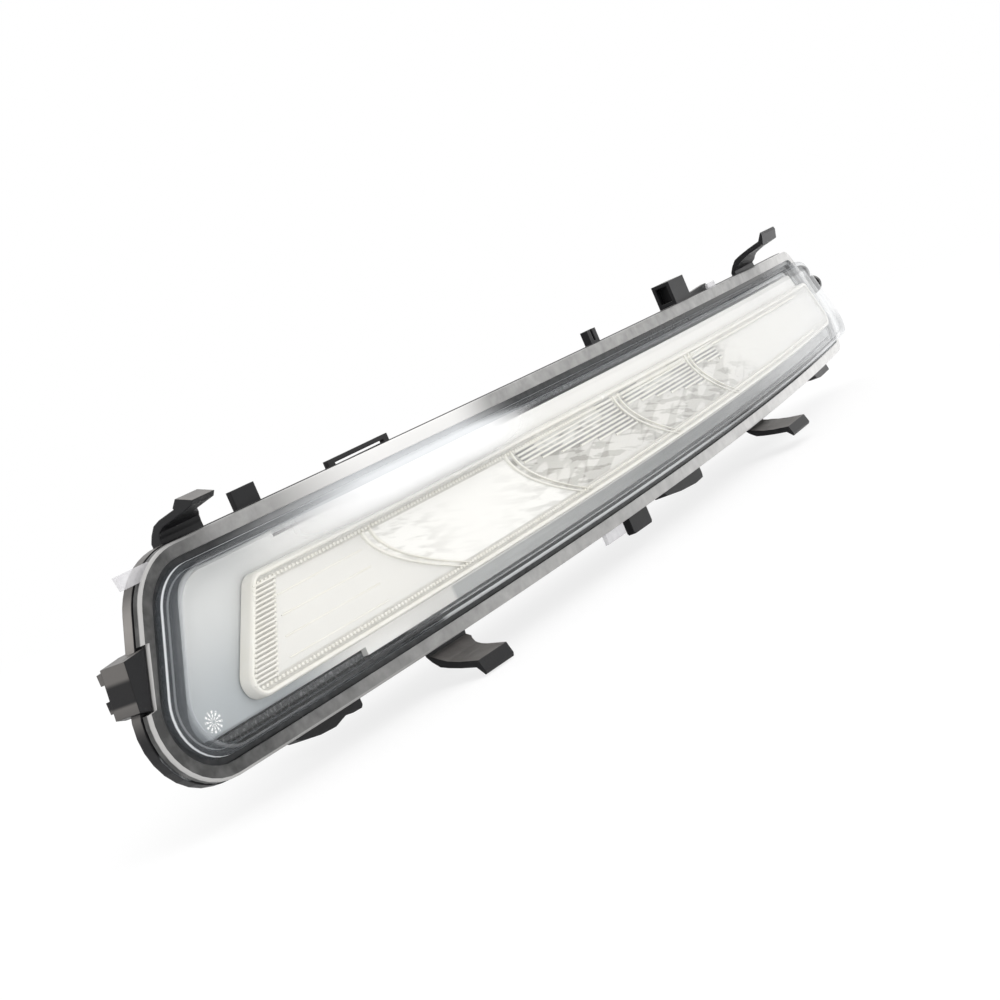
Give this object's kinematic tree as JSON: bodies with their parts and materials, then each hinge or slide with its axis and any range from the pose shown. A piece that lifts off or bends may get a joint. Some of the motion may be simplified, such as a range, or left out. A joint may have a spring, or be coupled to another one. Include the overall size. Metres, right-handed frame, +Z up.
{
  "type": "daytime running light",
  "caption": "Long curved car daytime running light: clear dome lens over a ribbed optic strip and silver mask, in a black housing with snap arms and a rear electronics box",
  "frame": {"origin": "middle of the front face of the lens flange, where the curve of the lamp touches the XZ plane", "axes": "-Y out of the lens to the front of the car, +X along the lamp toward its lower pointed end, +Z up"},
  "size_m": [0.4549, 0.0609, 0.066],
  "materials": {
    "housing_black": "moulded black PP with 20 percent talc",
    "clear_lens": "clear hard coated polycarbonate",
    "seal_black": "black butyl and silicone bead",
    "bezel_silver": "silver lacquered polycarbonate mask",
    "frosted_optic": "clear PMMA strip with prisms and ribs",
    "reflector_bright": "vacuum metallised polycarbonate",
    "screw_zinc": "zinc plated",
    "board_green": "glass epoxy board with solder mask",
    "emitter_white": "white package with yellowish phosphor",
    "sink_aluminium": "mill finish sheet",
    "pad_grey": "soft silicone pad",
    "chip_black": "moulded epoxy",
    "coil_dark": "ferrite drum",
    "can_aluminium": "drawn can",
    "flex_amber": "polyimide flat lead",
    "lead_black": "PVC sleeve",
    "pin_tin": "tinned brass",
    "cover_black": "moulded black PP with 20 percent talc",
    "sleeve_steel": "rolled steel"
  },
  "bodies": {
    "root": {"housing": "housing_black", "outer_lens": "clear_lens", "seal_bead": "seal_black", "bezel": "bezel_silver", "inner_lens": "frosted_optic", "reflector": "reflector_bright", "reflector_screws": "screw_zinc", "led_board": "board_green", "led_1": "emitter_white", "led_2": "emitter_white", "led_3": "emitter_white", "led_4": "emitter_white", "board_screws": "screw_zinc", "heat_sink": "sink_aluminium", "heat_sink_screws": "screw_zinc", "thermal_pad": "pad_grey", "driver_board": "board_green", "driver_chip": "chip_black", "driver_coil": "coil_dark", "driver_capacitor": "can_aluminium", "driver_screws": "screw_zinc", "flex_lead": "flex_amber", "supply_lead": "lead_black", "connector_pins": "pin_tin", "rear_cover": "cover_black", "rear_cover_seal": "seal_black", "cover_screws": "screw_zinc", "vent_cap": "cover_black", "lug_sleeve": "sleeve_steel"}
  },
  "joints": []
}
